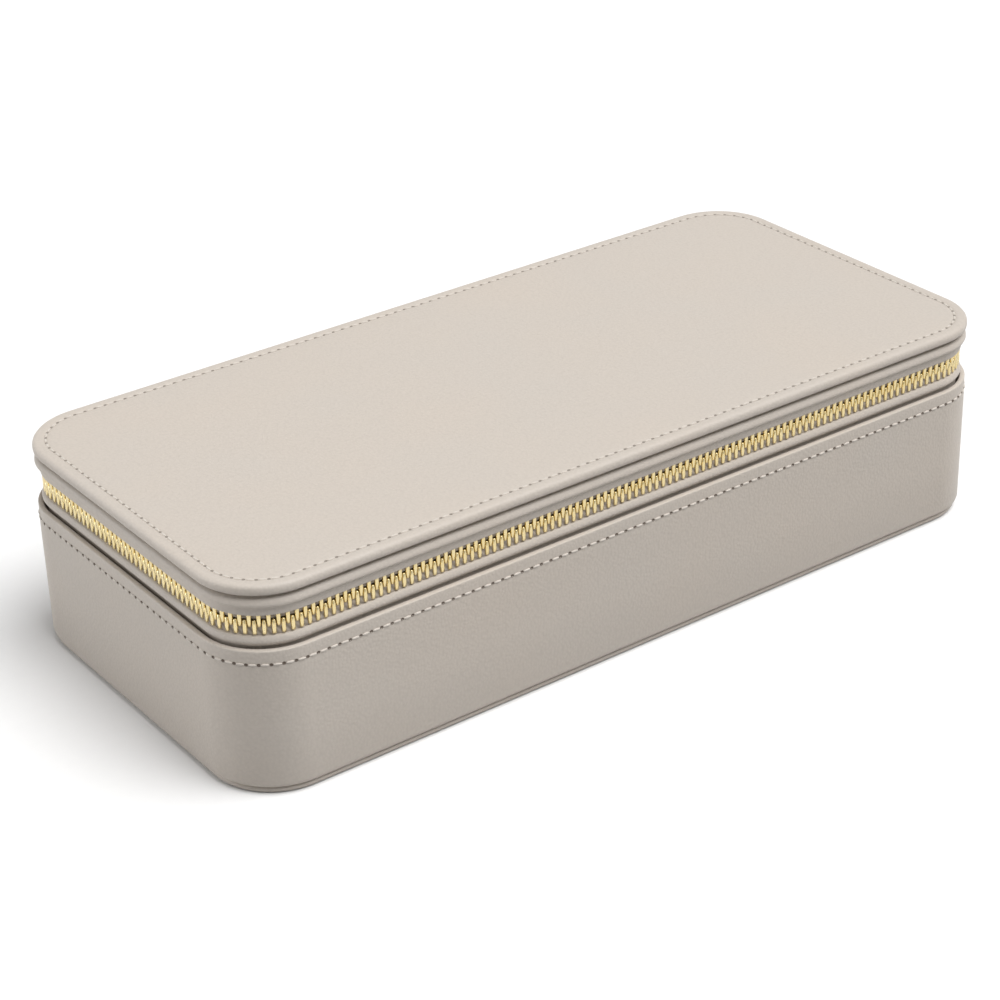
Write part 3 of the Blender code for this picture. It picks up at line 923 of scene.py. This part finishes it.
class CASE_OT_velvet_lining(bpy.types.Operator):
    """Velvet linings of base and lid, each with a rolled edge that covers the board behind it"""

    bl_idname = "jewelry_case.velvet_lining"
    bl_label = "Velvet Lining"

    def execute(self, context):
        rim = LINING_HIGH.z / MM
        low = LINING_LOW.z / MM
        over = [(3.4, rim + 0.1), (3.5, rim + 0.38), (3.85, rim + 0.55), (4.7, rim + 0.62)]
        over += [(5.5, rim + 0.55), (5.95, rim + 0.3), (6.15, rim - 0.2), (6.2, rim - 1.0)]
        over += [(6.2, low + 2.4), (6.35, low + 1.5), (6.8, low + 0.85), (7.8, low + 0.6)]
        over += [(14.0, low + 0.6)]
        under = [(3.4, rim + 0.1), (5.3, rim + 0.05), (5.6, rim - 0.5), (5.6, low + 0.5)]
        under += [(6.0, low), (14.0, low)]
        lining = outline_solid("base_velvet", over, under)
        finish_piece(lining, "base", short_velvet, ["base_lining"], 60)
        foot = LID_LINING_LOW.z / MM
        ceiling = LID_LINING_HIGH.z / MM - 0.6
        over = [(4.95, foot - 0.3), (5.05, foot - 0.1), (6.9, foot - 0.05), (7.0, foot + 0.5)]
        over += [(7.0, ceiling + 0.4), (7.2, ceiling + 0.6), (16.0, ceiling + 0.6)]
        under = [(4.95, foot - 0.3), (5.15, foot - 0.52), (5.6, foot - 0.6), (6.9, foot - 0.6)]
        under += [(7.35, foot - 0.5), (7.57, foot - 0.2), (7.6, foot + 0.4), (7.6, ceiling - 0.9)]
        under += [(7.8, ceiling - 0.35), (8.5, ceiling), (16.0, ceiling)]
        lining = outline_solid("lid_velvet", over, under)
        finish_piece(lining, "lid", short_velvet, ["lid_lining"], 60)
        return {"FINISHED"}


class CASE_OT_dividers(bpy.types.Operator):
    """Velvet-bound walls between the compartments, with rounded tops and a sewn binding"""

    bl_idname = "jewelry_case.dividers"
    bl_label = "Dividers"

    def execute(self, context):
        for kind, across in (("cross", 0), ("short", 1)):
            for side in ("left", "right"):
                self.add_divider(f"{kind}_divider_{side}", across)
        return {"FINISHED"}

    def add_divider(self, node, across):
        """across is the axis of the divider's thickness, 0 for X and 1 for Y."""
        low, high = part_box(node)
        wall = add_box(f"{node}_velvet", low, high)
        start_edit(wall)
        for drop in (3.3, 3.7, 4.1):
            bpy.ops.mesh.select_all(action="SELECT")
            bpy.ops.mesh.bisect(plane_co=(0, 0, high.z - drop * MM), plane_no=(0, 0, 1))
        seam = high.z - 3.7 * MM
        pick_edges(wall, lambda a, b: abs(a.z - seam) < 1e-6 and abs(b.z - seam) < 1e-6)
        squeeze = [1.0, 1.0, 1.0]
        squeeze[across] = 0.8
        bpy.ops.transform.resize(value=squeeze)
        top = high.z

        def runs_along_top(a, b):
            return abs(a.z - top) < 1e-6 and abs(b.z - top) < 1e-6 and abs(a[across] - b[across]) < 1e-6

        pick_edges(wall, runs_along_top)
        bpy.ops.mesh.bevel(offset=1.15 * MM, segments=6, affect="EDGES")
        end_edit()
        apply_modifier(wall, "BEVEL", {"width": 0.3 * MM, "segments": 2, "angle_limit": math.radians(50)})
        finish_piece(wall, "base", short_velvet, [node], 50)


class CASE_OT_ring_rolls(bpy.types.Operator):
    """Stuffed velvet rolls that grip rings between them"""

    bl_idname = "jewelry_case.ring_rolls"
    bl_label = "Ring Rolls"

    def execute(self, context):
        model = self.model_roll()
        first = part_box("ring_roll_1")[0].x
        for number in range(1, 7):
            node = f"ring_roll_{number}"
            roll = model.copy()
            roll.data = model.data.copy()
            roll.name = f"{node}_velvet"
            context.scene.collection.objects.link(roll)
            roll.location.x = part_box(node)[0].x - first
            settle(roll)
            finish_piece(roll, "base", short_velvet, [node], 70)
        bpy.data.objects.remove(model, do_unlink=True)
        return {"FINISHED"}

    def model_roll(self):
        """The first roll: a sewn case a little under size, swollen by its filling."""
        low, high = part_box("ring_roll_1")
        slack = Vector((0.45 * MM, 0.9 * MM, 0))
        top = Vector((0, 0, 0.5 * MM))
        roll = add_box("ring_roll", low + slack, high - slack - top)
        start_edit(roll)
        ceiling = high.z - top.z
        pick_edges(roll, lambda a, b: min(a.z, b.z) > ceiling - 1e-6 and abs(a.x - b.x) < 1e-6)
        bpy.ops.mesh.bevel(offset=4.6 * MM, segments=8, affect="EDGES")
        end_edit()
        apply_modifier(roll, "BEVEL", {"width": 0.9 * MM, "segments": 3, "angle_limit": math.radians(50)})
        apply_modifier(roll, "REMESH", {"mode": "VOXEL", "voxel_size": 1.5 * MM})
        swell(roll, 0.6 * MM)
        keep_between(roll, low, high)
        apply_modifier(roll, "SUBSURF", {"levels": 1, "render_levels": 1})
        keep_between(roll, low, high)
        return roll


# The cloth solver needs sizes of ordinary cushions, so a pad grows by this much while it runs.
SWELL_SCALE = 20
SWELL_FRAMES = 20


def swell(obj, most):
    """Blows a sewn case up like a stuffed cushion. No point moves further than most."""
    before = [vertex.co.copy() for vertex in obj.data.vertices]
    obj.scale = (SWELL_SCALE,) * 3
    settle(obj)
    cloth = obj.modifiers.new("Filling", "CLOTH")
    cloth.settings.use_pressure = True
    cloth.settings.uniform_pressure_force = 4
    cloth.settings.effector_weights.gravity = 0
    cloth.point_cache.frame_end = SWELL_FRAMES
    for number in range(1, SWELL_FRAMES + 1):
        bpy.context.scene.frame_set(number)
    activate(obj)
    bpy.ops.object.modifier_apply(modifier=cloth.name)
    bpy.context.scene.frame_set(1)
    for vertex, start in zip(obj.data.vertices, before):
        move = vertex.co / SWELL_SCALE - start
        vertex.co = start + move.normalized() * min(move.length, most)


def keep_between(obj, low, high):
    """Presses the mesh flat against the limits of its space."""
    for vertex in obj.data.vertices:
        for axis in range(3):
            vertex.co[axis] = min(max(vertex.co[axis], low[axis]), high[axis])


# ---- the mirror and the lid's padding ---------------------------------------------------------------


class CASE_OT_mirror(bpy.types.Operator):
    """Bevelled mirror in a padded leatherette frame, under the lid"""

    bl_idname = "jewelry_case.mirror"
    bl_label = "Mirror"

    def execute(self, context):
        self.add_frame()
        low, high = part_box("lid_mirror")
        step = 0.35 * MM
        glass = add_box("mirror_glass", low + Vector((0, 0, step)), high)
        start_edit(glass)
        pick(glass, lambda middle, normal: normal.z < -0.9)
        bpy.ops.mesh.inset(thickness=3.2 * MM, depth=step)
        bpy.ops.mesh.inset(thickness=0.12 * MM, depth=0.0)
        end_edit()
        finish_piece(glass, "lid", silvered_glass, ["lid_mirror"], 2)
        return {"FINISHED"}

    def add_frame(self):
        """The surround: rolled outside, with a creased seam and a soft inner edge."""
        low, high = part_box("mirror_frame")
        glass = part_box("lid_mirror")[0]
        width = (glass.x - low.x) / MM - 0.3
        start = low.z / MM + 0.45
        frame_piece = add_box("mirror_surround", (low.x, low.y, start * MM), high)
        start_edit(frame_piece)
        pick(frame_piece, lambda middle, normal: normal.z < -0.9)
        face = [(0.0, start), (0.12, start - 0.25), (0.5, start - 0.43), (1.0, start - 0.45)]
        face += [(1.9, start - 0.38), (2.2, start - 0.2), (2.5, start - 0.38), (3.4, start - 0.45)]
        face += [(width - 1.0, start - 0.45), (width - 0.4, start - 0.4), (width - 0.1, start - 0.2)]
        carry_face(frame_piece, [*face, (width, start)])
        bpy.ops.mesh.delete(type="ONLY_FACE")
        pick(frame_piece, lambda middle, normal: normal.z > 0.9)
        bpy.ops.mesh.inset(thickness=width * MM, depth=0)
        close_ring()
        end_edit()
        outward_normals(frame_piece)
        finish_piece(frame_piece, "lid", pebbled_leatherette, ["mirror_frame"], 50)


class CASE_OT_inner_layers(bpy.types.Operator):
    """Foam under the lid's cover, and the pressed boards that stiffen the case"""

    bl_idname = "jewelry_case.inner_layers"
    bl_label = "Inner Layers"

    def execute(self, context):
        low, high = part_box("lid_foam")
        edge = (HALF_X - high.x) / MM
        bottom, top = low.z / MM, high.z / MM
        middle = (bottom + top) / 2
        over = [(edge, middle), (edge + 0.1, top - 0.2), (edge + 0.5, top), (12.0, top)]
        under = [(edge, middle), (edge + 0.1, bottom + 0.2), (edge + 0.5, bottom), (12.0, bottom)]
        foam = outline_solid("foam_sheet", over, under)
        finish_piece(foam, "lid", open_cell_foam, ["lid_foam"], 60)
        for node in ("base_wall_board", "floor_board", "lid_board", "lid_rim_board"):
            board = bpy.data.objects[node]
            board.data.materials.clear()
            board.data.materials.append(once("pressed_board", pressed_board))
        return {"FINISHED"}


# ---- sliders and pulls --------------------------------------------------------------------------------


# A slider's outer plate lies at this X, and the plates are this thick and reach this far along Y.
PLATE_OUT = 125.3 * MM
PLATE_THICK = 1.5 * MM
INNER_PLATE_THICK = 1.1 * MM
PLATE_HALF_LENGTH = 6.0 * MM
# The bridge's half length along Y.
BRIDGE_ARM = 3.9 * MM
# Radii of the bridge's and the link's wire, of the link's bends, and of the tab's eyelet and hole.
BRIDGE_WIRE = 0.65 * MM
LINK_WIRE = 0.55 * MM
LINK_TOP_BEND = 1.75 * MM
LINK_LOW_BEND = 2.1 * MM
TAB_EYE = 1.9 * MM
TAB_HOLE = 1.15 * MM


class CASE_OT_sliders(bpy.types.Operator):
    """Two brass sliders, each with a wire link and a long tab"""

    bl_idname = "jewelry_case.sliders"
    bl_label = "Sliders"

    def execute(self, context):
        for side, opens in (("front", -1), ("rear", 1)):
            self.add_slider(side, opens)
            self.add_link(side)
            self.add_tab(side)
        return {"FINISHED"}

    def add_slider(self, side, opens):
        """opens is the way along Y that this slider travels as it opens the zip."""
        low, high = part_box(f"{side}_slider")
        link_low, link_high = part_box(f"{side}_pull_ring")
        y = (low.y + high.y) / 2
        half = high.z - ZIP_Z
        plates = [
            self.model_plate(y, opens, PLATE_OUT - PLATE_THICK, PLATE_OUT, half, 1),
            self.model_plate(y, opens, low.x, low.x + INNER_PLATE_THICK, half * 0.72, -1),
        ]
        # The post that parts the teeth joins the plates near the slider's nose.
        nose = -opens * PLATE_HALF_LENGTH
        near, far = sorted((y + nose * 0.9, y + nose * 0.3))
        post_low = (low.x + 0.5 * MM, near, ZIP_Z - 0.7 * MM)
        post_high = (PLATE_OUT - 0.9 * MM, far, ZIP_Z + 0.7 * MM)
        post = add_box("post", post_low, post_high)
        apply_modifier(post, "BEVEL", {"width": 0.25 * MM, "segments": 2})
        foot, arm = PLATE_OUT - 0.6 * MM, BRIDGE_ARM
        crest = (link_low.x + link_high.x) / 2
        side_of_bow = [(foot, arm), (foot + 1.1 * MM, arm), (crest - 0.7 * MM, arm - 0.25 * MM)]
        side_of_bow.append((crest, arm - 1.2 * MM))
        points = [(x, y - along, ZIP_Z) for x, along in side_of_bow]
        points += [(x, y + along, ZIP_Z) for x, along in reversed(side_of_bow)]
        bow = self.model_rod("bow", points, BRIDGE_WIRE, False)
        slider = self.join([*plates, post, bow], f"{side}_zip_slider")
        finish_piece(slider, f"{side}_slider", polished_brass, [f"{side}_slider"], 40)

    def model_plate(self, y, opens, low_x, high_x, half_height, facing):
        """A slider plate, widest at its shoulder, with a rounded rim and a sunk panel. facing is
        the way along X that its panel faces."""
        half = PLATE_HALF_LENGTH
        low = (low_x, y - half, ZIP_Z - half_height)
        high = (high_x, y + half, ZIP_Z + half_height)
        plate = add_box("plate", low, high)
        start_edit(plate)
        shoulder = y - opens * 0.4 * half
        bpy.ops.mesh.bisect(plane_co=(0, shoulder, 0), plane_no=(0, 1, 0))
        pick(plate, lambda middle, normal: normal.y * opens > 0.9)
        bpy.ops.transform.resize(value=(1, 1, 0.74))
        pick(plate, lambda middle, normal: normal.y * opens < -0.9)
        bpy.ops.transform.resize(value=(1, 1, 0.79))
        pick_edges(plate, lambda a, b: abs(a.x - b.x) > 1e-6)
        bpy.ops.mesh.bevel(offset=1.0 * MM, segments=4, affect="EDGES")
        pick(plate, lambda middle, normal: normal.x * facing > 0.9)
        bpy.ops.mesh.inset(thickness=0.3 * MM, depth=0.0)
        bpy.ops.mesh.inset(thickness=0.15 * MM, depth=0.0)
        bpy.ops.mesh.inset(thickness=0.55 * MM, depth=-0.12 * MM)
        end_edit()
        rim = {"width": 0.25 * MM, "segments": 3, "angle_limit": math.radians(50)}
        apply_modifier(plate, "BEVEL", rim)
        return plate

    def add_link(self, side):
        """A wire link: two half circles joined by straight sides."""
        low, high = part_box(f"{side}_pull_ring")
        x, y = (low.x + high.x) / 2, (low.y + high.y) / 2
        top_bend = (high.z - LINK_WIRE - LINK_TOP_BEND, LINK_TOP_BEND, 0)
        low_bend = (low.z + LINK_WIRE + LINK_LOW_BEND, LINK_LOW_BEND, 180)
        points = []
        for middle, radius, start in (top_bend, low_bend):
            for step in range(13):
                angle = math.radians(start + 15 * step)
                points.append((x + radius * math.cos(angle), y, middle + radius * math.sin(angle)))
        link = self.model_rod(f"{side}_link_wire", points, LINK_WIRE, True)
        finish_piece(link, f"{side}_link", polished_brass, [f"{side}_pull_ring"], 60)

    def add_tab(self, side):
        """A slim tab with a round end, a sunk panel on each face and a rolled eyelet."""
        low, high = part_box(f"{side}_pull_tab")
        half = (high.y - low.y) / 2
        middle = (low + high) / 2
        eye = Vector((middle.x, middle.y, high.z - TAB_EYE))
        tab = add_box(f"{side}_tab", low, high)
        start_edit(tab)
        pick(tab, lambda centre, normal: normal.z > 0.9)
        bpy.ops.transform.resize(value=(1, TAB_EYE / half, 1))
        pick_edges(tab, lambda a, b: abs(a.x - b.x) > 1e-6 and a.z < middle.z)
        bpy.ops.mesh.bevel(offset=half * 0.98, segments=8, affect="EDGES")
        pick_edges(tab, lambda a, b: abs(a.x - b.x) > 1e-6 and a.z > high.z - 1e-6)
        bpy.ops.mesh.bevel(offset=1.8 * MM, segments=7, affect="EDGES")
        # The sunk panels start below the eyelet.
        shoulder = eye.z - 2.2 * MM
        pick(tab, lambda centre, normal: abs(normal.x) > 0.9)
        bpy.ops.mesh.bisect(plane_co=(0, 0, shoulder), plane_no=(0, 0, 1))
        pick(tab, lambda centre, normal: abs(normal.x) > 0.9 and centre.z < shoulder - 0.1 * MM)
        bpy.ops.mesh.inset(thickness=0.8 * MM, depth=0)
        bpy.ops.mesh.inset(thickness=0.2 * MM, depth=-0.16 * MM)
        end_edit()
        deselect_all()
        across = (0, math.pi / 2, 0)
        bpy.ops.mesh.primitive_cylinder_add(
            vertices=24, radius=TAB_HOLE, depth=6 * MM, location=eye, rotation=across
        )
        hole = bpy.context.active_object
        apply_modifier(tab, "BOOLEAN", {"operation": "DIFFERENCE", "object": hole, "solver": "EXACT"})
        bpy.data.objects.remove(hole, do_unlink=True)
        rim = {"width": 0.14 * MM, "segments": 2, "angle_limit": math.radians(50)}
        apply_modifier(tab, "BEVEL", rim)
        finish_piece(tab, f"{side}_tab", polished_brass, [f"{side}_pull_tab"], 40)

    def model_rod(self, name, points, radius, looped):
        """A round wire bent along the points."""
        curve = bpy.data.curves.new(name, "CURVE")
        curve.dimensions = "3D"
        curve.bevel_depth = radius
        curve.bevel_resolution = 3
        curve.use_fill_caps = True
        run = curve.splines.new("POLY")
        run.points.add(len(points) - 1)
        for spot, point in zip(run.points, points):
            spot.co = (*point, 1.0)
        run.use_cyclic_u = looped
        wire = bpy.data.objects.new(name, curve)
        bpy.context.scene.collection.objects.link(wire)
        activate(wire)
        bpy.ops.object.convert(target="MESH")
        return bpy.context.active_object

    def join(self, parts, name):
        """Joins the parts into one object."""
        activate(parts[0])
        for part in parts[1:]:
            part.select_set(True)
        bpy.ops.object.join()
        parts[0].name = name
        return parts[0]


# ---- the stage ----------------------------------------------------------------------------------

# The camera looks at the box from the front left and above.
CAMERA_AIM = Vector((-0.00728, -0.00033, 0.02165))
CAMERA_AZIMUTH = -35.684
CAMERA_ELEVATION = 28.382
CAMERA_DISTANCE = 0.7085
CAMERA_ROLL = -1.721
CAMERA_LENS_MM = 91.605


class CASE_OT_stage(bpy.types.Operator):
    """White paper sweep, soft lights and the camera"""

    bl_idname = "jewelry_case.stage"
    bl_label = "Stage"

    def execute(self, context):
        self.add_camera(context.scene)
        self.add_floor()
        self.add_world(context.scene)
        self.add_lamp("top_light", (0.25, -0.35, 0.96), 3.32)
        self.add_lamp("left_light", (-0.75, 0.65, 0.12), 1.95)
        self.add_lamp("right_light", (0.65, -0.75, 0.12), 0.15)
        context.scene.view_settings.view_transform = "Standard"
        return {"FINISHED"}

    def add_camera(self, scene):
        """The camera, placed by its direction and distance from the point that it looks at."""
        data = bpy.data.cameras.new("product_camera")
        data.lens = CAMERA_LENS_MM
        data.sensor_width = 36.0
        camera = bpy.data.objects.new("product_camera", data)
        scene.collection.objects.link(camera)
        a, e = math.radians(CAMERA_AZIMUTH), math.radians(CAMERA_ELEVATION)
        back = Vector((math.sin(a) * math.cos(e), -math.cos(a) * math.cos(e), math.sin(e)))
        camera.location = CAMERA_AIM + back * CAMERA_DISTANCE
        roll = Quaternion((0, 0, 1), math.radians(CAMERA_ROLL))
        camera.rotation_mode = "QUATERNION"
        camera.rotation_quaternion = (-back).to_track_quat("-Z", "Y") @ roll
        scene.camera = camera

    def add_floor(self):
        """A wide sheet of paper just under the box."""
        deselect_all()
        bpy.ops.mesh.primitive_plane_add(size=12, location=(0, 0, -0.0001))
        floor = bpy.context.active_object
        floor.name = "paper_floor"
        floor.data.materials.append(once("studio_floor", studio_floor))

    def add_world(self, scene):
        """A white room that lights softly, shows brighter in polished metal and is plain white behind."""
        world = bpy.data.worlds.new("soft_room")
        world.use_nodes = True
        tree = world.node_tree
        background = tree.nodes["Background"]
        background.inputs["Color"].default_value = (1.0, 1.0, 1.0, 1.0)
        paths = add_node(tree, "ShaderNodeLightPath")
        soft = {"operation": "MULTIPLY_ADD", 1: 0.4, 2: 0.12}
        mirrored = add_node(tree, "ShaderNodeMath", soft, {0: paths.outputs["Is Glossy Ray"]})
        sources = {0: paths.outputs["Is Camera Ray"], 2: mirrored.outputs["Value"]}
        seen = add_node(tree, "ShaderNodeMath", {"operation": "MULTIPLY_ADD", 1: 0.9}, sources)
        tree.links.new(seen.outputs["Value"], background.inputs["Strength"])
        scene.world = world

    def add_lamp(self, name, side, strength):
        """A broad soft light that shines from the given side, even over the whole floor."""
        data = bpy.data.lights.new(name, "SUN")
        data.energy = strength
        data.angle = math.radians(50)
        lamp = bpy.data.objects.new(name, data)
        bpy.context.scene.collection.objects.link(lamp)
        lamp.location = side
        lamp.rotation_mode = "QUATERNION"
        lamp.rotation_quaternion = (-Vector(side)).to_track_quat("-Z", "Y")


# ---- the panel and the run ----------------------------------------------------------------------

OPERATORS = (
    CASE_OT_lid_leather,
    CASE_OT_base_leather,
    CASE_OT_zip_bands,
    CASE_OT_zip_teeth,
    CASE_OT_stitching,
    CASE_OT_hinge_leather,
    CASE_OT_velvet_lining,
    CASE_OT_dividers,
    CASE_OT_ring_rolls,
    CASE_OT_mirror,
    CASE_OT_inner_layers,
    CASE_OT_sliders,
    CASE_OT_stage,
)


class CASE_PT_panel(bpy.types.Panel):
    """The box's settings, and a button for each of its operators"""

    bl_idname = "CASE_PT_panel"
    bl_label = "Jewelry Box"
    bl_space_type = "VIEW_3D"
    bl_region_type = "UI"
    bl_category = "Jewelry Box"

    def draw(self, context):
        settings = context.scene.jewelry_case
        for name in CaseSettings.__annotations__:
            self.layout.prop(settings, name)
        for operator in OPERATORS:
            self.layout.operator(operator.bl_idname)


CLASSES = (CaseSettings, *OPERATORS, CASE_PT_panel)


def register():
    for item in CLASSES:
        bpy.utils.register_class(item)
    bpy.types.Scene.jewelry_case = bpy.props.PointerProperty(type=CaseSettings)


def unregister():
    del bpy.types.Scene.jewelry_case
    for item in reversed(CLASSES):
        bpy.utils.unregister_class(item)


def main():
    register()
    for operator in OPERATORS:
        group, name = operator.bl_idname.split(".")
        getattr(getattr(bpy.ops, group), name)()


if __name__ == "__main__":
    main()
